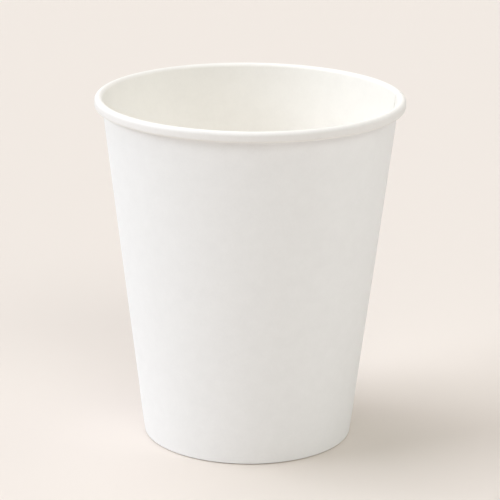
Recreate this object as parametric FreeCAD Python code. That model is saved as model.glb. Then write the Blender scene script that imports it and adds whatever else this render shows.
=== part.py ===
"""A plain white paper cup for a hot drink, about 240 ml, made of two pieces of coated board.

sidewall   one fan-shaped blank wound into a cone. Its ends lap in a side seam, its top edge is
           rolled outwards into the rim, and its lower edge is folded in and up as a hem.
base_disc  a round blank whose edge is drawn down into a skirt. The skirt is held between the
           sidewall and the hem, so that the base stands clear of the table.

Millimetres. +Z is up, and the origin is at the centre of the circle that the cup stands on.
Sections lie in the R-Z half plane, which is drawn on XZ and turned about Z.
"""
import FreeCAD, Part

import math
import os

from FreeCAD import Vector

# Overall sizes
rim_diameter = 80.0
cup_height = 90.7
foot_diameter = 54.7  # across the outside of the wall, carried down to the table

# Board
wall_board = 0.33
base_board = 0.30
seal_film = 0.02  # melted coating between two bonded faces

# Rolled rim
rim_width = 2.15
rim_height = 2.75
roll_gap = 0.1  # between the wall and the turn that is tucked in beside it
roll_tuck = 0.55  # straight stretch of that turn
roll_end_turn = 70.0  # degrees that the hidden end curls on

# Foot
fold_inner_radius = 0.06
hem_height = 6.5
base_recess = 8.0  # from the table to the underside of the base
base_corner_radius = 0.35  # inside the bend between disc and skirt
skirt_rise = 1.0  # from the table to the skirt's lower edge

# Side seam
seam_overlap = 7.0
seam_angle = 12.0  # degrees from +X to the seam's middle
lap_sink = 0.16  # how deep the lap's solid reaches into the wall that it is bonded to
lap_skin = 0.02  # how far its ramp starts below the surface


class SheetPath:
    """The middle line of a sheet: straight runs and bends that meet in line, in (r, z).

    Headings are in radians from +R towards +Z, and a positive turn is to the left.
    """

    def __init__(self, start, heading):
        self.point = start
        self.heading = heading
        self.pieces = []

    def run(self, length):
        """Goes straight on."""
        self.pieces.append((self.point, self.heading, length, None))
        self.point = step(self.point, self.heading, length)
        return self

    def bend(self, radius, turn):
        """Goes round an arc of that radius on the middle line."""
        self.pieces.append((self.point, self.heading, turn, radius))
        side = math.copysign(math.pi / 2, turn)
        centre = step(self.point, self.heading + side, radius)
        self.heading += turn
        self.point = step(centre, self.heading - side, radius)
        return self

    def face(self, thickness):
        """The flat section of a sheet of that thickness along the path."""
        half = thickness / 2
        near = [self.offset_edge(piece, half) for piece in self.pieces]
        far = [self.offset_edge(piece, -half) for piece in self.pieces]
        first = Part.LineSegment(far[0].firstVertex().Point, near[0].firstVertex().Point)
        last = Part.LineSegment(near[-1].lastVertex().Point, far[-1].lastVertex().Point)
        wire = Part.Wire(Part.__sortEdges__(near + far + [first.toShape(), last.toShape()]))
        return Part.Face(wire)

    @staticmethod
    def offset_edge(piece, right):
        """One run or bend of the path, moved to the right of it."""
        start, heading, amount, radius = piece
        begin = step(start, heading - math.pi / 2, right)
        if radius is None:
            return Part.LineSegment(on_plane(begin), on_plane(step(begin, heading, amount))).toShape()
        side = math.copysign(math.pi / 2, amount)
        centre = step(start, heading + side, radius)
        own_radius = radius + right * math.copysign(1, amount)
        middle = step(centre, heading + amount / 2 - side, own_radius)
        end = step(centre, heading + amount - side, own_radius)
        return Part.Arc(on_plane(begin), on_plane(middle), on_plane(end)).toShape()


def step(point, heading, length):
    """The point that lies so far from another in a heading."""
    return (point[0] + length * math.cos(heading), point[1] + length * math.sin(heading))


def on_plane(point):
    """An (r, z) point on the drawing plane."""
    return Vector(point[0], 0, point[1])


def turned(face):
    """The solid that a section sweeps in a full turn about the cup's axis."""
    return face.revolve(Vector(0, 0, 0), Vector(0, 0, 1), 360)


# The roll at the rim. Its radii are on the board's middle line.
half_board = wall_board / 2
roll_top_radius = (rim_width - wall_board) / 2
roll_foot_radius = (rim_width - 2 * wall_board - roll_gap) / 2 - half_board
roll_end_radius = roll_top_radius - wall_board - roll_gap
roll_centre = (rim_diameter / 2 - half_board - roll_top_radius, cup_height - half_board - roll_top_radius)
roll_flat = rim_height - wall_board - roll_top_radius - roll_foot_radius

# The wall's lean from upright: its outside runs from the foot circle to the roll.
foot_radius = foot_diameter / 2
roll_overhang = roll_centre[0] - foot_radius
foot_to_roll = math.hypot(roll_overhang, roll_centre[1])
lean_to_roll = math.atan2(roll_overhang, roll_centre[1])
lean = lean_to_roll - math.asin((roll_top_radius - half_board) / foot_to_roll)
up_wall = math.pi / 2 - lean
out_of_wall = -lean
down_wall = up_wall + math.pi


def wall_radius(z, depth):
    """Radius at a height of the cone that lies so deep under the wall's outer face."""
    return foot_radius + z * math.tan(lean) - depth / math.cos(lean)


# The fold at the foot: two small bends with a flat between them, round the skirt.
fold_radius = fold_inner_radius + half_board
fold_span = wall_board + base_board + 2 * seal_film
fold_flat = (fold_span - 2 * fold_radius) / math.cos(lean)
fold_level = half_board + fold_radius
wall_fold_centre = (wall_radius(fold_level, half_board + fold_radius), fold_level)
hem_fold_centre = (wall_fold_centre[0] - fold_flat, fold_level)
wall_start = step(wall_fold_centre, out_of_wall, fold_radius)
wall_end = step(roll_centre, out_of_wall, -roll_top_radius)
wall_run = math.hypot(wall_end[0] - wall_start[0], wall_end[1] - wall_start[1])
hem_run = (hem_height - fold_level) / math.cos(lean)


def wound_sheet():
    """The blank as a full turn: hem, fold, wall and rolled rim."""
    hem_edge = step(step(hem_fold_centre, out_of_wall, -fold_radius), up_wall, hem_run)
    path = SheetPath(hem_edge, down_wall)
    path.run(hem_run)
    path.bend(fold_radius, math.pi / 2 + lean)
    path.run(fold_flat)
    path.bend(fold_radius, math.pi / 2 - lean)
    path.run(wall_run)
    path.bend(roll_top_radius, lean - math.pi)
    path.run(roll_flat)
    path.bend(roll_foot_radius, -math.pi - lean)
    path.run(roll_tuck)
    path.bend(roll_end_radius, -math.radians(roll_end_turn))
    return turned(path.face(wall_board))


def polar(radius, angle, z):
    """A point at an angle in degrees from +X."""
    return Vector(radius * math.cos(math.radians(angle)), radius * math.sin(math.radians(angle)), z)


def arc_edge(radius, from_angle, to_angle, z):
    """A level arc about the axis."""
    middle = (from_angle + to_angle) / 2
    ends = [polar(radius, angle, z) for angle in (from_angle, middle, to_angle)]
    return Part.Arc(*ends).toShape()


def line_edge(start, end):
    """A straight edge between two points."""
    return Part.LineSegment(start, end).toShape()


def seam_reach(radius):
    """Degrees of the lap's near end, its far end and its ramp's start on a face of that radius.

    The overlap has one width all the way up. The ramp leaves the round along its tangent.
    """
    half_lap = math.degrees(seam_overlap / 2 / radius)
    ramp = math.degrees(math.acos(radius / (radius + wall_board)))
    near_end = seam_angle - half_lap
    return near_end, seam_angle + half_lap, near_end - ramp


def lap_outline(radius, z, outward):
    """Plan of the outer end of the blank, where it lies on a face of that radius.

    outward is 1 on the wall's outside and -1 on the hem, where the lap faces the axis.
    """
    near_end, far_end, ramp_start = seam_reach(radius)
    buried = radius - outward * lap_sink
    raised = radius + outward * wall_board
    ramp_foot = polar(radius - outward * lap_skin, ramp_start, z)
    edges = [
        line_edge(polar(buried, ramp_start, z), ramp_foot),
        line_edge(ramp_foot, polar(raised, near_end, z)),
        arc_edge(raised, near_end, far_end, z),
        line_edge(polar(raised, far_end, z), polar(buried, far_end, z)),
        arc_edge(buried, far_end, ramp_start, z),
    ]
    return Part.Wire(edges)


def groove_outline(radius, z):
    """Plan of the hollow beside the inner end of the blank, cut into the wall's inside."""
    near_end, _, ramp_start = seam_reach(radius)
    open_side = radius - lap_skin
    edges = [
        line_edge(polar(open_side, ramp_start, z), polar(radius + wall_board, near_end, z)),
        line_edge(polar(radius + wall_board, near_end, z), polar(open_side, near_end, z)),
        arc_edge(open_side, near_end, ramp_start, z),
    ]
    return Part.Wire(edges)


def wall_lap():
    """The outer end of the blank on the wall, from the fold up into the rim's underside."""
    low = fold_level
    high = cup_height - rim_height + wall_board
    outlines = [lap_outline(wall_radius(z, 0), z, 1) for z in (low, high)]
    return Part.makeLoft(outlines, True, True)


def hem_lap():
    """The same end where it has been folded in with the hem."""
    depth = fold_span + wall_board
    low = fold_level
    high = hem_height
    outlines = [lap_outline(wall_radius(z, depth), z, -1) for z in (low, high)]
    return Part.makeLoft(outlines, True, True)


def seam_groove():
    """What is cut away inside the wall, above the base, where the blank climbs over its own end."""
    low = base_recess + base_board
    high = cup_height + rim_height
    outlines = [groove_outline(wall_radius(z, wall_board), z) for z in (low, high)]
    return Part.makeLoft(outlines, True, True)


def make_sidewall():
    """The wound, rolled and hemmed blank with its side seam."""
    sheet = wound_sheet().fuse([wall_lap(), hem_lap()])
    return sheet.cut(seam_groove()).removeSplitter()


def make_base_disc():
    """The base: a flat disc, a small bend, and a skirt that follows the wall down."""
    bend_radius = base_corner_radius + base_board / 2
    middle_level = base_recess + base_board / 2
    bend_level = middle_level - bend_radius
    bend_depth = wall_board + seal_film + base_board / 2 + bend_radius
    disc_run = wall_radius(bend_level, bend_depth)
    skirt_run = (bend_level - skirt_rise) / math.cos(lean)
    path = SheetPath((0.0, middle_level), 0.0)
    path.run(disc_run)
    path.bend(bend_radius, -math.pi / 2 - lean)
    path.run(skirt_run)
    return turned(path.face(base_board))


def write_part(name, shape):
    """Writes one piece as its own file."""
    solid = shape.Solids[0]
    print(name, "valid", solid.isValid(), "solids", len(shape.Solids), "volume", round(solid.Volume, 2))
    solid.exportStep(os.path.join("parts", name + ".step"))


os.makedirs("parts", exist_ok=True)
write_part("sidewall", make_sidewall())
write_part("base_disc", make_base_disc())
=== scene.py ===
"""A plain white paper cup for a hot drink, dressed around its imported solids.

The real cup is two blanks of coated board, so two pieces stand for its two solids:

sidewall   one sheet, worked out along its whole length: the raw edge of the hem, the fold at the
           foot, the wall, and the rim that is rolled outwards. Wound round the axis, the sheet
           passes over its own first end in a lapped side seam.
base_disc  a round sheet whose edge is drawn down into a skirt.

Sizes are in millimetres, and points turn into metres when a mesh is made.
"""

import logging
import math
from dataclasses import dataclass, field
from enum import Enum, IntEnum

import bpy
import numpy as np
from mathutils import Matrix, Vector

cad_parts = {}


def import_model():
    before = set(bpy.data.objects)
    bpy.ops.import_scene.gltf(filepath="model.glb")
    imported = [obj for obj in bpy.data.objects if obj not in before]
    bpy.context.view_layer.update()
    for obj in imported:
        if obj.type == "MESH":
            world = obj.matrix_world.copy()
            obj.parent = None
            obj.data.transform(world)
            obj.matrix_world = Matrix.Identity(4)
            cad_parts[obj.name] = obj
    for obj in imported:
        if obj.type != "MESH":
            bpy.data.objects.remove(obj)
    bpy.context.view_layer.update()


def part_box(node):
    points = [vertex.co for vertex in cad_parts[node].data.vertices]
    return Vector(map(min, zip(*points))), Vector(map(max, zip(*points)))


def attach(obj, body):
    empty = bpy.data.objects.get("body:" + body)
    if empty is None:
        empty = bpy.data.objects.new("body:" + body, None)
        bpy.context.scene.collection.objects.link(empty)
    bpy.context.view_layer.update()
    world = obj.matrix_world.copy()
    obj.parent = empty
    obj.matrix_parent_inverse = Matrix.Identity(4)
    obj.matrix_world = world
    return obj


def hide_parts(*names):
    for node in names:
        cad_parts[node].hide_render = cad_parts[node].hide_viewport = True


LOG = logging.getLogger("paper_cup")
MM = 0.001
BODY = "root"
QUARTER_TURN = math.pi / 2
FULL_TURN = 2 * math.pi
WHITE = "#FFFFFF"

# Most of what a noise texture gives lies in this range, whose middle is 0.5.
NOISE_RANGE = (0.3, 0.7)
NOISE_ROUGHNESS = 0.55

# A Mix node has inputs of one name for each kind of data, so those of a colour go by number.
MIX_SHARE = 0
MIX_FIRST = 6
MIX_SECOND = 7
MIX_COLOUR = 2


class Skin(IntEnum):
    """The three surfaces that a piece of coated board shows, in the order of its material slots."""

    BOARD = 0
    FILM = 1
    CUT = 2


class Leg(Enum):
    """The stretches of the sidewall's section, from the hem's raw edge to the rim's hidden end."""

    HEM = "hem"
    HEM_FOLD = "hem fold"
    FOOT = "foot"
    WALL_FOLD = "wall fold"
    WALL = "wall"
    ROLL_TOP = "roll top"
    ROLL_SIDE = "roll side"
    ROLL_FOOT = "roll foot"
    ROLL_TUCK = "roll tuck"
    ROLL_END = "roll end"


class BaseLeg(Enum):
    """The stretches of the base's section, from its centre to the skirt's raw edge."""

    DISC = "disc"
    CORNER = "corner"
    SKIRT = "skirt"


# How many points each stretch gets, its end left out. The bends need the most for their length.
ROWS = {
    Leg.HEM: 9,
    Leg.HEM_FOLD: 6,
    Leg.FOOT: 1,
    Leg.WALL_FOLD: 8,
    Leg.WALL: 30,
    Leg.ROLL_TOP: 20,
    Leg.ROLL_SIDE: 2,
    Leg.ROLL_FOOT: 16,
    Leg.ROLL_TUCK: 1,
    Leg.ROLL_END: 4,
    BaseLeg.DISC: 40,
    BaseLeg.CORNER: 8,
    BaseLeg.SKIRT: 5,
}


def linear(hex_code: str) -> tuple[float, float, float, float]:
    """Turns an sRGB hex colour into Blender's linear colour, by the sRGB standard's own curve.

    Args:
        hex_code: the colour as six hex digits after a hash sign.

    Returns:
        Red, green, blue and an alpha of one.
    """
    parts = [int(hex_code[i:i + 2], 16) / 255 for i in (1, 3, 5)]
    red, green, blue = [v / 12.92 if v <= 0.04045 else ((v + 0.055) / 1.055) ** 2.4 for v in parts]
    return red, green, blue, 1.0


def add_node(
    tree: bpy.types.NodeTree,
    kind: str,
    settings: dict[str | int, object] | None = None,
    links: dict[str | int, bpy.types.NodeSocket] | None = None,
) -> bpy.types.Node:
    """Adds a shader node with its settings and links.

    Args:
        tree: the node tree of a material or a world.
        kind: the node's type, such as ShaderNodeBump.
        settings: values by the name of a property, or by the name or number of an input.
        links: the output that feeds each input, by the input's name or number.

    Returns:
        The new node.
    """
    node = tree.nodes.new(kind)
    for key, value in (settings or {}).items():
        if isinstance(key, str) and key.islower() and hasattr(node, key):
            setattr(node, key, value)
        else:
            node.inputs[key].default_value = value
    for key, output in (links or {}).items():
        tree.links.new(output, node.inputs[key])
    return node


def new_material(name: str) -> tuple[bpy.types.Material, bpy.types.NodeTree, bpy.types.Node]:
    """Makes an empty node material with its output node.

    Args:
        name: the material's name.

    Returns:
        The material, its node tree and its output node.
    """
    material = bpy.data.materials.new(name)
    material.use_nodes = True
    tree = material.node_tree
    tree.nodes.clear()
    return material, tree, add_node(tree, "ShaderNodeOutputMaterial")


def noise_on_piece(
    tree: bpy.types.NodeTree, size_mm: float, stretch: float, detail: float
) -> bpy.types.NodeSocket:
    """Noise on Object coordinates whose blobs have a real size.

    Args:
        tree: the material's node tree.
        size_mm: how far apart the blobs lie.
        stretch: how many times longer than wide they are, along the cup's axis.
        detail: how many finer layers are added.

    Returns:
        The noise value's output.
    """
    place = add_node(tree, "ShaderNodeTexCoord").outputs["Object"]
    mapped = add_node(
        tree, "ShaderNodeMapping", {"Scale": (1.0, 1.0, 1.0 / stretch)}, {"Vector": place}
    )
    noise = add_node(
        tree,
        "ShaderNodeTexNoise",
        {"Scale": 1.0 / (size_mm * MM), "Detail": detail, "Roughness": NOISE_ROUGHNESS},
        {"Vector": mapped.outputs[0]},
    )
    return noise.outputs[0]


def spread(
    tree: bpy.types.NodeTree, value: bpy.types.NodeSocket, low: float, high: float
) -> bpy.types.NodeSocket:
    """Carries noise from its usual middle range onto another range.

    Args:
        tree: the material's node tree.
        value: the noise.
        low: the result where the noise is weak.
        high: the result where it is strong.

    Returns:
        The mapped value's output.
    """
    weak, strong = NOISE_RANGE
    settings = {"From Min": weak, "From Max": strong, "To Min": low, "To Max": high}
    return add_node(tree, "ShaderNodeMapRange", settings, {"Value": value}).outputs[0]


def outwards_share(
    tree: bpy.types.NodeTree, inner_mm: float, outer_mm: float
) -> bpy.types.NodeSocket:
    """Rises smoothly from 0 to 1 with the distance from the cup's axis.

    Args:
        tree: the material's node tree.
        inner_mm: the distance at which it leaves 0.
        outer_mm: the distance at which it reaches 1.

    Returns:
        The share's output.
    """
    place = add_node(tree, "ShaderNodeTexCoord").outputs["Object"]
    level = add_node(tree, "ShaderNodeMapping", {"Scale": (1.0, 1.0, 0.0)}, {"Vector": place})
    distance = add_node(
        tree, "ShaderNodeVectorMath", {"operation": "LENGTH"}, {0: level.outputs[0]}
    )
    share = add_node(
        tree,
        "ShaderNodeMapRange",
        {"interpolation_type": "SMOOTHSTEP", "From Min": inner_mm * MM, "From Max": outer_mm * MM},
        {"Value": distance.outputs["Value"]},
    )
    return share.outputs[0]


@dataclass(frozen=True)
class CoatedBoard:
    """One face of cup board: bleached fibres pressed flat, bare or under a clear film.

    Board is laid down from a slurry, so it has a cloudy formation of a few millimetres, in which
    the thicker spots are whiter, and a fine felt of fibres that lie mostly along the web. Each
    shows as a very faint change of shade and height. Over the outer part of the rim's roll,
    between two distances from the axis, the colour is multiplied by a painted shade, so that
    the roll's outer face is darker and cooler than the rest.
    film is how much of a clear coat lies on the board, from 0 to 1.
    """

    name: str
    thin_spot: str
    thick_spot: str
    formation_mm: float
    fibre_mm: float
    fibre_stretch: float
    fibre_height_mm: float
    formation_height_mm: float
    roughness_low: float
    roughness_high: float
    specular: float
    film: float = 0.0
    film_roughness: float = 0.3
    # Painted shade for the outer part of the rim's roll, and the two distances from the axis
    # between which it comes in.
    painted_roll_shade: str = WHITE
    roll_shade_mm: tuple[float, float] = (39.2, 40.0)
    formation_detail: float = 2.0
    fibre_detail: float = 3.0
    cellulose_ior: float = 1.5
    polyethylene_ior: float = 1.51

    def material(self) -> bpy.types.Material:
        """Makes the node material of this face.

        Returns:
            The material, with its colour, roughness and bump driven by formation and fibres.
        """
        material, tree, output = new_material(self.name)
        formation = noise_on_piece(tree, self.formation_mm, 1.0, self.formation_detail)
        fibres = noise_on_piece(tree, self.fibre_mm, self.fibre_stretch, self.fibre_detail)
        both = add_node(
            tree, "ShaderNodeMath", {"operation": "ADD"}, {0: formation, 1: fibres}
        ).outputs[0]
        mean = add_node(
            tree, "ShaderNodeMath", {"operation": "MULTIPLY", 1: 0.5}, {0: both}
        ).outputs[0]
        spots = {MIX_FIRST: linear(self.thin_spot), MIX_SECOND: linear(self.thick_spot)}
        colour = add_node(
            tree,
            "ShaderNodeMix",
            {"data_type": "RGBA", **spots},
            {MIX_SHARE: spread(tree, mean, 0.0, 1.0)},
        ).outputs[MIX_COLOUR]
        # Painted shade: darkens and cools the colour on the outer part of the rim's roll.
        if self.painted_roll_shade != WHITE:
            shade = linear(self.painted_roll_shade)
            colour = add_node(
                tree,
                "ShaderNodeMix",
                {"data_type": "RGBA", "blend_type": "MULTIPLY", MIX_SECOND: shade},
                {MIX_SHARE: outwards_share(tree, *self.roll_shade_mm), MIX_FIRST: colour},
            ).outputs[MIX_COLOUR]
        cloudy = add_node(
            tree,
            "ShaderNodeBump",
            {"Strength": 1.0, "Distance": self.formation_height_mm * MM},
            {"Height": formation},
        ).outputs[0]
        felt = add_node(
            tree,
            "ShaderNodeBump",
            {"Strength": 1.0, "Distance": self.fibre_height_mm * MM},
            {"Height": fibres, "Normal": cloudy},
        ).outputs[0]
        surface = add_node(
            tree,
            "ShaderNodeBsdfPrincipled",
            {
                "IOR": self.cellulose_ior,
                "Specular IOR Level": self.specular,
                "Coat Weight": self.film,
                "Coat Roughness": self.film_roughness,
                "Coat IOR": self.polyethylene_ior,
            },
            {
                "Base Color": colour,
                "Roughness": spread(tree, fibres, self.roughness_low, self.roughness_high),
                "Normal": felt,
            },
        )
        tree.links.new(surface.outputs[0], output.inputs["Surface"])
        return material


# Bare bleached board is matt and close to neutral. The eye sees an even white with a soft tooth.
# The felt of fibres is really 0.03 mm wide, too fine to show, so it is drawn 0.45 mm wide.
BARE_BOARD = CoatedBoard(
    name="bleached_cup_board",
    thin_spot="#F2F3F4",
    thick_spot="#F6F7F8",
    formation_mm=3.5,
    fibre_mm=0.45,
    fibre_stretch=1.8,
    fibre_height_mm=0.010,
    formation_height_mm=0.030,
    roughness_low=0.72,
    roughness_high=0.82,
    specular=0.35,
)

# The inner face is the same board under 0.02 mm of extruded polyethylene. The film fills the tooth,
# gives a soft sheen at a low angle, and makes the white a little creamier. Over the outer part of
# the roll the white is multiplied by a painted shade, so that the roll's outer face is cooler and a
# little greyer.
FILMED_BOARD = CoatedBoard(
    name="polyethylene_coated_board",
    thin_spot="#F8F6F2",
    thick_spot="#FCFAF6",
    formation_mm=3.5,
    fibre_mm=0.6,
    fibre_stretch=1.8,
    fibre_height_mm=0.006,
    formation_height_mm=0.030,
    roughness_low=0.52,
    roughness_high=0.62,
    specular=0.4,
    film=0.25,
    film_roughness=0.38,
    # Painted shade on the roll's outer face.
    painted_roll_shade="#F5F6F9",
)

# A cut edge shows the board's inside: torn fibre ends with no coating, rougher and a little darker.
CUT_BOARD = CoatedBoard(
    name="cut_board_edge",
    thin_spot="#E2DED5",
    thick_spot="#EEEBE3",
    formation_mm=1.2,
    fibre_mm=0.12,
    fibre_stretch=1.0,
    fibre_height_mm=0.020,
    formation_height_mm=0.015,
    roughness_low=0.88,
    roughness_high=0.96,
    specular=0.2,
)


@dataclass
class MeshDraft:
    """A piece's points and faces, gathered as arrays until its mesh is made."""

    points: list[np.ndarray] = field(default_factory=list)
    faces: list[np.ndarray] = field(default_factory=list)
    skins: list[Skin] = field(default_factory=list)
    count: int = 0

    def add_points(self, places: np.ndarray) -> np.ndarray:
        """Adds points.

        Args:
            places: an array of points in millimetres, of any shape whose last axis is x, y, z.

        Returns:
            Their numbers, in the same shape without the last axis.
        """
        flat = places.reshape(-1, 3)
        numbers = np.arange(self.count, self.count + len(flat)).reshape(places.shape[:-1])
        self.points.append(flat)
        self.count += len(flat)
        return numbers

    def add_faces(self, corners: np.ndarray, skin: Skin) -> None:
        """Adds triangles or quads.

        Args:
            corners: point numbers, one face per row, in the order that faces outwards.
            skin: which surface of the board they show.
        """
        self.faces.append(corners)
        self.skins.append(skin)

    def add_grid(self, numbers: np.ndarray, skin: Skin, outwards: bool) -> None:
        """Adds the quads between the rows and columns of a grid of points.

        Args:
            numbers: the points' numbers, one row per step along the section.
            skin: which surface of the board they show.
            outwards: True where rows times columns, by the right-hand rule, points into the board.
        """
        corners = [numbers[:-1, :-1], numbers[:-1, 1:], numbers[1:, 1:], numbers[1:, :-1]]
        quads = np.stack(corners, axis=-1).reshape(-1, 4)
        self.add_faces(quads if outwards else quads[:, ::-1], skin)

    def build(self, name: str, finishes: dict[Skin, CoatedBoard]) -> bpy.types.Object:
        """Makes the object: broad faces are smooth, and cut edges are flat.

        Args:
            name: the piece's name.
            finishes: the finish of each surface of the board.

        Returns:
            The object, at the origin, with its place in its mesh.
        """
        points = np.concatenate(self.points) * MM
        sizes = np.concatenate([np.full(len(f), f.shape[1]) for f in self.faces])
        mesh = bpy.data.meshes.new(name)
        mesh.vertices.add(len(points))
        mesh.vertices.foreach_set("co", points.astype(np.float32).ravel())
        mesh.loops.add(int(sizes.sum()))
        corners = np.concatenate([f.ravel() for f in self.faces])
        mesh.loops.foreach_set("vertex_index", corners.astype(np.int32))
        mesh.polygons.add(len(sizes))
        starts = np.concatenate([[0], np.cumsum(sizes)[:-1]])
        mesh.polygons.foreach_set("loop_start", starts.astype(np.int32))
        skins = np.concatenate([np.full(len(f), s) for f, s in zip(self.faces, self.skins)])
        for skin in Skin:
            finish = finishes[skin]
            mesh.materials.append(bpy.data.materials.get(finish.name) or finish.material())
        mesh.polygons.foreach_set("material_index", skins.astype(np.int32))
        mesh.polygons.foreach_set("use_smooth", skins != Skin.CUT)
        mesh.update(calc_edges=True)
        mesh.validate()
        piece = bpy.data.objects.new(name, mesh)
        bpy.context.scene.collection.objects.link(piece)
        return piece


@dataclass
class Section:
    """A sheet's middle line, sampled in the half plane of radius and height.

    A heading is an angle from the outward radius towards straight up. The right-hand side of the
    heading is the board's bare face, and its left-hand side is the film. A station is the distance
    along the line, and starts holds the station at which each stretch begins.
    """

    radius: np.ndarray
    height: np.ndarray
    heading: np.ndarray
    station: np.ndarray
    starts: dict[Enum, float]

    def face(self, offset: np.ndarray) -> tuple[np.ndarray, np.ndarray]:
        """Radius and height of the points that lie so far to the right of the middle line.

        Args:
            offset: one row per section point and one column per azimuth.

        Returns:
            Radius and height, each in the shape of offset.
        """
        across = np.sin(self.heading)[:, None]
        along = np.cos(self.heading)[:, None]
        return self.radius[:, None] + offset * across, self.height[:, None] - offset * along


@dataclass
class SheetPath:
    """Draws a sheet's middle line as straight runs and round bends that meet in line."""

    place: tuple[float, float]
    heading: float
    length: float = 0.0
    samples: list[np.ndarray] = field(default_factory=list)
    starts: dict[Enum, float] = field(default_factory=dict)

    def run(self, leg: Enum, distance: float) -> None:
        """Goes straight on: a point is the start plus its distance along the heading.

        Args:
            leg: which stretch this is.
            distance: its length.
        """
        part = np.linspace(0.0, 1.0, ROWS[leg] + 1)
        radius = self.place[0] + part * distance * math.cos(self.heading)
        height = self.place[1] + part * distance * math.sin(self.heading)
        self.keep(leg, radius, height, np.full_like(part, self.heading), part * distance)

    def bend(self, leg: Enum, bend_radius: float, turn: float) -> None:
        """Goes round an arc: a point is the start plus the sum of all the headings passed.

        Args:
            leg: which stretch this is.
            bend_radius: the arc's radius on the middle line.
            turn: how far it turns, in radians, with a turn to the left positive.
        """
        part = np.linspace(0.0, 1.0, ROWS[leg] + 1)
        headings = self.heading + part * turn
        signed = math.copysign(bend_radius, turn)
        radius = self.place[0] + signed * (np.sin(headings) - math.sin(self.heading))
        height = self.place[1] - signed * (np.cos(headings) - math.cos(self.heading))
        self.keep(leg, radius, height, headings, part * abs(turn) * bend_radius)

    def keep(
        self,
        leg: Enum,
        radius: np.ndarray,
        height: np.ndarray,
        headings: np.ndarray,
        along: np.ndarray,
    ) -> None:
        """Stores a stretch without its last point, and moves on to that point.

        Args:
            leg: which stretch this is.
            radius: its points' radii.
            height: their heights.
            headings: the headings there.
            along: their distances from the stretch's start.
        """
        self.starts[leg] = self.length
        self.samples.append(np.stack([radius, height, headings, along + self.length])[:, :-1])
        self.place = (float(radius[-1]), float(height[-1]))
        self.heading = float(headings[-1])
        self.length += float(along[-1])

    def section(self) -> Section:
        """The whole middle line, with its last point added.

        Returns:
            The sampled section.
        """
        last = np.array([[self.place[0]], [self.place[1]], [self.heading], [self.length]])
        radius, height, heading, station = np.concatenate([*self.samples, last], axis=1)
        return Section(radius, height, heading, station, self.starts)


def smooth_step(value: np.ndarray, low: float, high: float) -> np.ndarray:
    """Rises from 0 at low to 1 at high as three times the square less twice the cube.

    Args:
        value: where it is asked for.
        low: where it starts.
        high: where it ends, which may lie below low.

    Returns:
        The share, in the shape of value.
    """
    share = np.clip((value - low) / (high - low), 0.0, 1.0)
    return share * share * (3.0 - 2.0 * share)


def turned_points(radius: np.ndarray, azimuth: np.ndarray, height: np.ndarray) -> np.ndarray:
    """Points about the cup's axis: x and y are the radius times the azimuth's cosine and sine.

    Args:
        radius: radii.
        azimuth: azimuths in radians from +X.
        height: heights.

    Returns:
        The points, with x, y, z on a new last axis.
    """
    return np.stack([radius * np.cos(azimuth), radius * np.sin(azimuth), height], axis=-1)


@dataclass(frozen=True)
class Wave:
    """A wave round the cup: a size times the sine of so many turns, a phase and a climb."""

    size: float
    count: int
    phase: float = 0.0
    climb: float = 0.0

    def at(self, azimuth: np.ndarray, share: np.ndarray | float = 0.0) -> np.ndarray:
        """How high the wave stands.

        Args:
            azimuth: azimuths in radians.
            share: how far up the piece, from 0 to 1, over which the wave turns by its climb.

        Returns:
            The wave, in the shape of azimuth.
        """
        return self.size * np.sin(self.count * azimuth + self.phase + self.climb * share)


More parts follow.
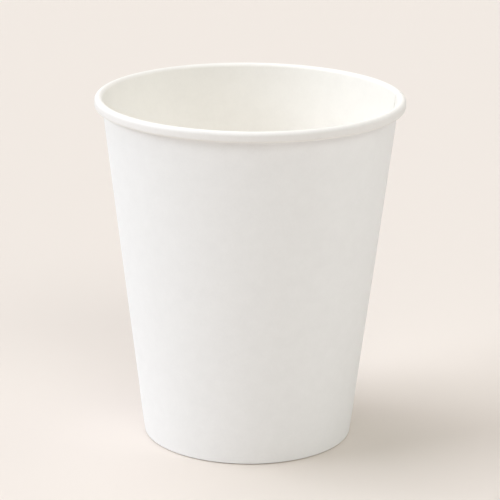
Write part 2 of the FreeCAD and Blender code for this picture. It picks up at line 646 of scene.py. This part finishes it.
@dataclass(frozen=True)
class SideSeam:
    """Where the wound sheet passes over its own first end.

    sealed, skived and thin_edge are shares of the board's thickness: what a layer keeps when it
    is only sealed, what the under layer's free edge has there, and what a layer's edge has where
    the two were rolled tight. glue is the film that melted between the layers.
    """

    azimuth: float = math.radians(12.0)
    overlap: float = 7.0
    ramp: float = 5.0
    under_columns: int = 12
    free_columns: int = 448
    ramp_columns: int = 16
    glue: float = 0.004
    sealed: float = 0.94
    skived: float = 0.22
    thin_edge: float = 0.14

    def azimuths(self, radius: np.ndarray) -> np.ndarray:
        """Azimuth of each column at each row of the section.

        Between the knots, which are the first cut edge, the end of the overlap, the start of the
        ramp, the first edge again and the second cut edge, the columns are evenly spread. The
        overlap and the ramp have one width at every radius.

        Args:
            radius: the radius of each row.

        Returns:
            Azimuths in radians, one row per section point.
        """
        half = self.overlap / 2 / radius
        knots = [
            self.azimuth - half,
            self.azimuth + half,
            self.azimuth - half + FULL_TURN - self.ramp / radius,
            self.azimuth - half + FULL_TURN,
            self.azimuth + half + FULL_TURN,
        ]
        counts = [self.under_columns, self.free_columns, self.ramp_columns]
        spans = []
        for low, high, columns in zip(knots, knots[1:], counts):
            spans.append(low[:, None] + (high - low)[:, None] * np.arange(columns) / columns)
        share = np.linspace(0.0, 1.0, self.under_columns + 1)
        spans.append(knots[3][:, None] + (knots[4] - knots[3])[:, None] * share)
        return np.concatenate(spans, axis=1)

    def faces(self, board: float, tightness: np.ndarray) -> tuple[np.ndarray, np.ndarray]:
        """How far each face lies to the right of the single sheet's middle line.

        The under layer keeps its film face in line with the rest, and the upper layer lies on it. A
        ramp carries the sheet from the one level to the other along a smooth step. Where the two
        layers are only sealed, each keeps one share of the board's thickness, but the under layer
        is skived: it grows from a small share at its free edge along a smooth step over the first
        half of the overlap. Where they were folded or rolled tight, they are together as thick as
        one: the under layer grows from a thin edge along a smooth step across the whole overlap,
        and the upper layer takes what is left.

        Args:
            board: the board's thickness.
            tightness: 0 where the sheet is only sealed and 1 where it is rolled, at each row.

        Returns:
            Offsets of the film face and of the bare face, one row per section point.
        """
        tight = tightness[:, None]
        places = np.arange(self.under_columns + 1)[None, :]
        half_way = self.under_columns / 2
        skive = self.skived + (self.sealed - self.skived) * smooth_step(places, 0, half_way)
        growth = smooth_step(places, 0, self.under_columns)
        rolled = self.thin_edge + (1 - 2 * self.thin_edge) * growth
        under = board * (skive + tight * (rolled - skive))
        upper = board * (self.sealed + tight * (1 - rolled - self.sealed)) - tight * self.glue
        bottom = -board / 2
        columns = np.arange(self.free_columns)[None, :]
        thinned = 1 - smooth_step(columns, 0, self.under_columns)
        climb = smooth_step(np.arange(self.ramp_columns)[None, :], 0, self.ramp_columns)
        film = [
            bottom * np.ones_like(under[:, :-1]),
            bottom * np.ones_like(tight * columns),
            bottom + (under[:, :1] + self.glue) * climb,
            bottom + under + self.glue,
        ]
        bare = [
            bottom + under[:, :-1],
            board / 2 + (under[:, -1:] - board) * thinned,
            board / 2 + (under[:, :1] + upper[:, :1] + self.glue - board) * climb,
            bottom + under + upper + self.glue,
        ]
        return np.concatenate(film, axis=1), np.concatenate(bare, axis=1)


@dataclass(frozen=True)
class Sidewall:
    """The wound blank: hem, fold, wall and rolled rim in one sheet, with its lapped seam.

    roll_gap is the air between the roll's turns, and roll_tuck is how far the sheet runs up inside
    the roll, beside the wall, before it curls on. press_run is the stretch over which the seam's
    layers pass from sealed to pressed. corner_power shapes the foot's outer corner: 2 is a quarter
    circle, and a larger number is more nearly square.
    """

    rim_radius: float
    cup_height: float
    foot_radius: float = 27.35
    board: float = 0.33
    skirt_board: float = 0.30
    seal_film: float = 0.02
    rim_width: float = 2.15
    rim_height: float = 2.75
    roll_gap: float = 0.1
    roll_tuck: float = 0.55
    roll_end_turn: float = math.radians(70.0)
    fold_inner_radius: float = 0.06
    hem_height: float = 6.5
    seam: SideSeam = SideSeam()
    press_run: float = 1.2
    corner_power: float = 5.0
    hem_bulge: float = 0.10
    wall_waves: tuple[Wave, ...] = (
        Wave(0.030, 2, 0.7, 2.0),
        Wave(0.016, 5, -1.1, 5.0),
        Wave(0.007, 13, 0.4, -9.0),
    )
    mouth_waves: tuple[Wave, ...] = (
        Wave(0.022, 2, 0.9 + QUARTER_TURN),
        Wave(0.010, 3, -0.5 + QUARTER_TURN),
        Wave(0.004, 9, 2.0 + QUARTER_TURN),
    )
    knurl_depth: float = 0.07
    knurl_count: int = 84
    knurl_margins: tuple[float, float] = (0.6, 0.8)
    knurl_fade: float = 1.0
    knurl_lift: float = 0.25

    def lean(self) -> float:
        """The wall's angle from upright.

        The wall's outer face runs from the foot circle so that its middle line meets the roll's
        top bend along a tangent: the angle to the bend's centre less the angle that the bend's
        radius takes up at that distance.

        Returns:
            The angle in radians.
        """
        top = (self.rim_width - self.board) / 2
        across = self.rim_radius - self.board / 2 - top - self.foot_radius
        up = self.cup_height - self.board / 2 - top
        return math.atan2(across, up) - math.asin((top - self.board / 2) / math.hypot(across, up))

    def section(self) -> Section:
        """The blank's middle line from the hem's raw edge to the rim's hidden end.

        Returns:
            The sampled section.
        """
        half = self.board / 2
        lean = self.lean()
        fold = self.fold_inner_radius + half
        span = self.board + self.skirt_board + 2 * self.seal_film
        foot_run = (span - 2 * fold) / math.cos(lean)
        fold_level = half + fold
        wall_fold = self.foot_radius + fold_level * math.tan(lean) - (half + fold) / math.cos(lean)
        hem_foot = (
            wall_fold - foot_run - fold * math.cos(lean),
            fold_level + fold * math.sin(lean),
        )
        hem_run = (self.hem_height - fold_level) / math.cos(lean)
        top = (self.rim_width - self.board) / 2
        foot = (self.rim_width - 2 * self.board - self.roll_gap) / 2 - half
        roll_centre = (self.rim_radius - half - top, self.cup_height - half - top)
        wall_top = (roll_centre[0] - top * math.cos(lean), roll_centre[1] + top * math.sin(lean))
        wall_foot = (wall_fold + fold * math.cos(lean), fold_level - fold * math.sin(lean))
        wall_run = math.dist(wall_top, wall_foot)
        start = (hem_foot[0] + hem_run * math.sin(lean), hem_foot[1] + hem_run * math.cos(lean))
        path = SheetPath(start, 3 * QUARTER_TURN - lean)
        path.run(Leg.HEM, hem_run)
        path.bend(Leg.HEM_FOLD, fold, QUARTER_TURN + lean)
        path.run(Leg.FOOT, foot_run)
        path.bend(Leg.WALL_FOLD, fold, QUARTER_TURN - lean)
        path.run(Leg.WALL, wall_run)
        path.bend(Leg.ROLL_TOP, top, lean - math.pi)
        path.run(Leg.ROLL_SIDE, self.rim_height - self.board - top - foot)
        path.bend(Leg.ROLL_FOOT, foot, -math.pi - lean)
        path.run(Leg.ROLL_TUCK, self.roll_tuck)
        path.bend(Leg.ROLL_END, top - self.board - self.roll_gap, -self.roll_end_turn)
        return path.section()

    def tightness(self, section: Section) -> np.ndarray:
        """How tightly the seam's two layers are pressed together along the sheet.

        It rises in a straight line from 0 on the wall and the hem to 1 at the fold and the roll.

        Args:
            section: the sidewall's section.

        Returns:
            A share from 0 to 1 at each row.
        """
        starts = section.starts
        knots = [
            starts[Leg.HEM_FOLD] - self.press_run,
            starts[Leg.HEM_FOLD],
            starts[Leg.WALL],
            starts[Leg.WALL] + self.press_run,
            starts[Leg.ROLL_TOP] - self.press_run,
            starts[Leg.ROLL_TOP],
        ]
        return np.interp(section.station, knots, [0, 1, 1, 0, 0, 1])

    def shift(self, section: Section, azimuth: np.ndarray) -> np.ndarray:
        """How far the whole sheet stands out from its true cone, to the right.

        It is the sum of three things. The foot's outer corner, which the hemming wheel presses
        nearly square, follows a superellipse in place of the fold's quarter circle. Where the hem
        lies behind the wall there is a slight fullness, the square of a half sine wave over twice
        the hem's height. The wall has slow waves of a few hundredths of a millimetre, which fade
        towards both its ends as the square of a half sine wave.

        Args:
            section: the sidewall's section.
            azimuth: the azimuth of every point.

        Returns:
            The offset of every point.
        """
        fold = section.starts[Leg.WALL_FOLD]
        start = section.starts[Leg.WALL]
        end = section.starts[Leg.ROLL_TOP]
        turned = np.clip((section.station - fold) / (start - fold), 0.0, 1.0)[:, None]
        turn = turned * QUARTER_TURN
        power = self.corner_power
        squareness = (np.cos(turn) ** power + np.sin(turn) ** power) ** (-1 / power) - 1.0
        corner = (self.fold_inner_radius + self.board) * squareness
        share = np.clip((section.station - start) / (end - start), 0.0, 1.0)[:, None]
        hump_share = np.clip(share * (end - start) / (2.0 * self.hem_height), 0.0, 1.0)
        hump = self.hem_bulge * np.sin(math.pi * hump_share) ** 2
        slow = sum(wave.at(azimuth, share) for wave in self.wall_waves)
        return corner + hump + slow * np.sin(math.pi * share) ** 2

    def out_of_round(self, azimuth: np.ndarray, height: np.ndarray) -> np.ndarray:
        """How much the mouth's radius departs from a circle, growing with the cube of the height.

        The waves have their sizes taken off, so that the mouth stays within its true circle.

        Args:
            azimuth: the azimuth of every point.
            height: their heights.

        Returns:
            What the radius gains, which is never above zero.
        """
        waves = sum(wave.at(azimuth) - wave.size for wave in self.mouth_waves)
        return waves * np.clip(height / self.cup_height, 0.0, 1.0) ** 3

    def knurl(self, section: Section, azimuth: np.ndarray) -> np.ndarray:
        """The row of short ribs that the hemming wheel leaves on the foot's inner face.

        The wheel's teeth press in marks, each the upper part of a cosine wave round the foot,
        lifted a little so that the marks are wider than the ribs that stay between them. They
        fade at the hem's raw edge and at the fold.

        Args:
            section: the sidewall's section.
            azimuth: the azimuth of every point.

        Returns:
            How far the bare face is pressed in, at every point.
        """
        low = self.knurl_margins[0]
        high = section.starts[Leg.HEM_FOLD] - self.knurl_margins[1]
        rise = smooth_step(section.station, low, low + self.knurl_fade)
        fall = smooth_step(section.station, high, high - self.knurl_fade)
        lift = self.knurl_lift
        marks = np.clip(np.cos(self.knurl_count * azimuth) + lift, 0.0, None) / (1 + lift)
        return self.knurl_depth * (rise * fall)[:, None] * marks

    def build(self) -> bpy.types.Object:
        """Makes the sheet: two grids, its film face and its bare face, joined by four cut edges.

        Returns:
            The sidewall's object.
        """
        section = self.section()
        azimuth = self.seam.azimuths(section.radius)
        film, bare = self.seam.faces(self.board, self.tightness(section))
        shift = self.shift(section, azimuth)
        draft = MeshDraft()
        numbers = []
        for offset in (film + shift, bare + shift - self.knurl(section, azimuth)):
            radius, height = section.face(offset)
            radius = radius + self.out_of_round(azimuth, height)
            numbers.append(draft.add_points(turned_points(radius, azimuth, height)))
        film_grid, bare_grid = numbers
        draft.add_grid(film_grid, Skin.FILM, outwards=False)
        draft.add_grid(bare_grid, Skin.BOARD, outwards=True)
        draft.add_grid(np.stack([film_grid[0], bare_grid[0]]), Skin.CUT, outwards=True)
        draft.add_grid(np.stack([film_grid[-1], bare_grid[-1]]), Skin.CUT, outwards=False)
        draft.add_grid(np.stack([film_grid[:, 0], bare_grid[:, 0]]), Skin.CUT, outwards=False)
        draft.add_grid(np.stack([film_grid[:, -1], bare_grid[:, -1]]), Skin.CUT, outwards=True)
        return draft.build("cup_sidewall", dress_of_board())


@dataclass(frozen=True)
class BaseDisc:
    """The drawn base: a nearly flat disc, a small bend and a skirt held in the hem.

    The pleats fade in over pleat_rise and out over pleat_fall, which are distances past the start
    of the corner.
    """

    level: float
    foot: float
    wall: Sidewall
    corner_radius: float = 0.35
    columns: int = 360
    sag: float = 0.12
    pleat_height: float = 0.035
    pleat_rise: tuple[float, float] = (-1.6, 0.3)
    pleat_fall: tuple[float, float] = (2.2, 0.8)
    pleats: Wave = Wave(1.0, 61)
    pleat_groups: Wave = Wave(1.0, 17, 0.8)
    fine_pleats: Wave = Wave(0.5, 97, 2.0)

    def section(self) -> Section:
        """The base's middle line from its centre to the skirt's raw edge.

        Returns:
            The sampled section.
        """
        board = self.wall.skirt_board
        lean = self.wall.lean()
        bend = self.corner_radius + board / 2
        middle = self.level - board / 2
        bend_level = middle - bend
        depth = self.wall.board + self.wall.seal_film + board / 2 + bend
        disc_run = self.wall.foot_radius + bend_level * math.tan(lean) - depth / math.cos(lean)
        path = SheetPath((0.0, middle), 0.0)
        path.run(BaseLeg.DISC, disc_run)
        path.bend(BaseLeg.CORNER, bend, -QUARTER_TURN - lean)
        path.run(BaseLeg.SKIRT, (bend_level - self.foot) / math.cos(lean))
        return path.section()

    def shift(self, section: Section, azimuth: np.ndarray) -> np.ndarray:
        """How far the sheet lies to the right of its true form, which is down on the disc.

        The disc sags as one less the square of the radius. Round the corner the drawn board
        gathers in fine pleats: the product of two waves round the disc and a finer one, faded in
        and out along the section.

        Args:
            section: the base's section.
            azimuth: the azimuth of every column.

        Returns:
            The offset of every point.
        """
        corner = section.starts[BaseLeg.CORNER]
        radius_share = np.clip(section.station / corner, 0.0, 1.0)
        sag = self.sag * (1.0 - radius_share**2)
        past = section.station - corner
        fade = smooth_step(past, *self.pleat_rise) * smooth_step(past, *self.pleat_fall)
        pleats = self.pleats.at(azimuth) * self.pleat_groups.at(azimuth)
        pleats = pleats + self.fine_pleats.at(azimuth)
        return sag[:, None] + self.pleat_height * fade[:, None] * (pleats[None, :] + 1.0) / 2

    def build(self) -> bpy.types.Object:
        """Makes the disc as two round grids, closed at the centre and at the skirt's raw edge.

        Returns:
            The base's object.
        """
        section = self.section()
        azimuth = np.arange(self.columns) * FULL_TURN / self.columns
        half = self.wall.skirt_board / 2
        shift = self.shift(section, azimuth)
        draft = MeshDraft()
        grids = []
        for side, skin in ((-half, Skin.FILM), (half, Skin.BOARD)):
            radius, height = section.face(shift + side)
            pole = draft.add_points(np.array([[0.0, 0.0, height[0, 0]]]))
            grid = draft.add_points(turned_points(radius[1:], azimuth[None, :], height[1:]))
            grid = np.column_stack([grid, grid[:, :1]])
            upper = skin is Skin.FILM
            fan = np.stack([np.full(self.columns, pole[0]), grid[0, :-1], grid[0, 1:]], axis=-1)
            draft.add_faces(fan if upper else fan[:, ::-1], skin)
            draft.add_grid(grid, skin, outwards=not upper)
            grids.append(grid)
        draft.add_grid(np.stack([grids[0][-1], grids[1][-1]]), Skin.CUT, outwards=False)
        return draft.build("cup_base", dress_of_board())


def dress_of_board() -> dict[Skin, CoatedBoard]:
    """The finish of each surface of the cup's board."""
    return {Skin.BOARD: BARE_BOARD, Skin.FILM: FILMED_BOARD, Skin.CUT: CUT_BOARD}


@dataclass(frozen=True)
class SoftLamp:
    """A large soft light far away, which lights the whole table alike.

    A surface that faces a lamp whose strength is 1 renders in nearly the colour written for it.
    """

    name: str
    azimuth_deg: float
    elevation_deg: float
    strength: float
    spread_deg: float
    colour: str

    def build(self) -> None:
        """Hangs the lamp so that it shines at the origin from its azimuth, measured from +X."""
        lamp = bpy.data.lights.new(self.name, "SUN")
        lamp.energy = self.strength * math.pi
        lamp.angle = math.radians(self.spread_deg)
        lamp.color = linear(self.colour)[:3]
        azimuth, elevation = math.radians(self.azimuth_deg), math.radians(self.elevation_deg)
        level = math.cos(elevation)
        towards = Vector(
            (level * math.cos(azimuth), level * math.sin(azimuth), math.sin(elevation))
        )
        holder = bpy.data.objects.new(self.name, lamp)
        holder.rotation_euler = towards.to_track_quat("Z", "Y").to_euler()
        holder.location = towards
        bpy.context.scene.collection.objects.link(holder)


@dataclass(frozen=True)
class Studio:
    """The table of seamless paper, the light on it and the camera.

    The paper lies floor_drop below the foot, which gives the thin dark line under a real cup.
    Beyond the paper the camera sees far_paper, the colour that the paper has when it is lit. The
    camera's turn, tilt and roll are in radians.
    """

    paper: str = "#E9E1DA"
    far_paper: str = "#F1E8E2"
    paper_tooth: float = 0.8
    tooth_height: float = 0.01
    floor_half_width: float = 6000.0
    floor_drop: float = 0.22
    room_light: float = 0.176
    room_colour: str = "#FFFDF5"
    lamps: tuple[SoftLamp, ...] = (
        SoftLamp("window_light", 195.0, 29.0, 0.337, 28.0, "#F3F7FF"),
        SoftLamp("window_side_light", 165.0, 29.0, 0.216, 30.0, "#F3FDFF"),
        SoftLamp("high_light", 150.0, 69.0, 0.293, 40.0, "#F9F5FF"),
        SoftLamp("overhead_light", 0.0, 90.0, 0.143, 50.0, "#FDFFF3"),
        SoftLamp("front_reflector", -75.0, 33.0, 0.123, 55.0, "#FFFFF6"),
        SoftLamp("front_upper_light", -75.0, 45.0, 0.112, 26.0, "#FFFFFF"),
        SoftLamp("front_right_light", -45.0, 38.0, 0.054, 26.0, "#FFFFFF"),
        SoftLamp("right_reflector", 9.0, 25.0, 0.15, 48.0, "#FDFFF8"),
        SoftLamp("back_reflector", 90.0, 30.0, 0.05, 50.0, "#FFFFFF"),
    )
    light_bounces: int = 8
    focal_length_px: float = 2286.5
    frame_px: float = 500.0
    sensor_mm: float = 36.0
    camera_distance: float = 572.88
    camera_height: float = 223.78
    camera_turn: float = 0.00053
    camera_tilt: float = 0.29594
    camera_roll: float = -0.00959
    clip_range: tuple[float, float] = (10.0, 50000.0)

    def build_floor(self) -> None:
        """Lays a level sheet of matt paper that runs on far behind the cup."""
        material, tree, output = new_material("seamless_backdrop_paper")
        tooth = noise_on_piece(tree, self.paper_tooth, stretch=1.0, detail=2.0)
        depth = {"Strength": 0.4, "Distance": self.tooth_height * MM}
        bump = add_node(tree, "ShaderNodeBump", depth, {"Height": tooth})
        surface = add_node(
            tree,
            "ShaderNodeBsdfPrincipled",
            {"Base Color": linear(self.paper), "Roughness": 0.9, "Specular IOR Level": 0.1},
            {"Normal": bump.outputs[0]},
        )
        tree.links.new(surface.outputs[0], output.inputs["Surface"])
        size = self.floor_half_width * MM
        level = -self.floor_drop * MM
        corners = [(x * size, y * size, level) for x, y in ((-1, -1), (1, -1), (1, 1), (-1, 1))]
        mesh = bpy.data.meshes.new("table_paper")
        mesh.from_pydata(corners, [], [(0, 1, 2, 3)])
        mesh.materials.append(material)
        floor = bpy.data.objects.new("table_paper", mesh)
        bpy.context.scene.collection.objects.link(floor)

    def build_room(self) -> None:
        """Fills the room with even light, and shows the paper's colour beyond the table."""
        world = bpy.data.worlds.new("studio_room")
        world.use_nodes = True
        tree = world.node_tree
        tree.nodes.clear()
        output = add_node(tree, "ShaderNodeOutputWorld")
        glow = {"Color": linear(self.room_colour), "Strength": self.room_light}
        fill = add_node(tree, "ShaderNodeBackground", glow)
        paper = {"Color": linear(self.far_paper), "Strength": 1.0}
        seen = add_node(tree, "ShaderNodeBackground", paper)
        path = add_node(tree, "ShaderNodeLightPath")
        clear = add_node(
            tree,
            "ShaderNodeMath",
            {"operation": "MAXIMUM"},
            {0: path.outputs["Is Camera Ray"], 1: path.outputs["Is Transmission Ray"]},
        )
        direct = add_node(
            tree,
            "ShaderNodeMath",
            {"operation": "MAXIMUM"},
            {0: clear.outputs[0], 1: path.outputs["Is Glossy Ray"]},
        )
        mixed = add_node(
            tree,
            "ShaderNodeMixShader",
            {},
            {0: direct.outputs[0], 1: fill.outputs[0], 2: seen.outputs[0]},
        )
        tree.links.new(mixed.outputs[0], output.inputs["Surface"])
        bpy.context.scene.world = world

    def build_camera(self) -> None:
        """Places the camera where the photograph was taken from.

        The camera looks along +Y, turned and tilted by small angles. Its forward direction comes
        from the turn and the tilt, its right-hand direction is level, and the roll turns that one
        towards the downward one.
        """
        turn, tilt, roll = self.camera_turn, self.camera_tilt, self.camera_roll
        forward = Vector(
            (math.sin(turn) * math.cos(tilt), math.cos(turn) * math.cos(tilt), -math.sin(tilt))
        )
        level = Vector((math.cos(turn), -math.sin(turn), 0.0))
        down = forward.cross(level)
        right = math.cos(roll) * level + math.sin(roll) * down
        up = math.sin(roll) * level - math.cos(roll) * down
        lens = bpy.data.cameras.new("photo_view")
        lens.sensor_width = self.sensor_mm
        lens.lens = self.sensor_mm * self.focal_length_px / self.frame_px
        lens.clip_start = self.clip_range[0] * MM
        lens.clip_end = self.clip_range[1] * MM
        camera = bpy.data.objects.new("photo_view", lens)
        turned = Matrix((right, up, -forward)).transposed().to_4x4()
        place = Vector((0.0, -self.camera_distance, self.camera_height)) * MM
        camera.matrix_world = Matrix.Translation(place) @ turned
        bpy.context.scene.collection.objects.link(camera)
        bpy.context.scene.camera = camera

    def build(self) -> None:
        """Sets up the floor, the room, the lamps, the camera and plain colour handling."""
        self.build_floor()
        self.build_room()
        for lamp in self.lamps:
            lamp.build()
        self.build_camera()
        bpy.context.scene.cycles.diffuse_bounces = self.light_bounces
        bpy.context.scene.view_settings.view_transform = "Standard"


def report(piece: bpy.types.Object) -> None:
    """Logs a finished piece's name and how many points and faces it has."""
    mesh = piece.data
    LOG.info("%s: %d points, %d faces", piece.name, len(mesh.vertices), len(mesh.polygons))


def main() -> None:
    """Loads the frame, builds the cup's two pieces on it, and sets up the studio."""
    logging.basicConfig(level=logging.INFO, format="%(name)s %(message)s")
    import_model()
    wall_low, wall_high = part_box("sidewall")
    base_low, base_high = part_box("base_disc")
    sidewall = Sidewall(rim_radius=(wall_high.x - wall_low.x) / 2 / MM, cup_height=wall_high.z / MM)
    base = BaseDisc(level=base_high.z / MM, foot=base_low.z / MM, wall=sidewall)
    parts = ((sidewall, "sidewall", "wall_paper"), (base, "base_disc", "base_paper"))
    for part, node, slot in parts:
        piece = part.build()
        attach(piece, BODY)
        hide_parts(node)
        report(piece)
    Studio().build()


if __name__ == "__main__":
    main()
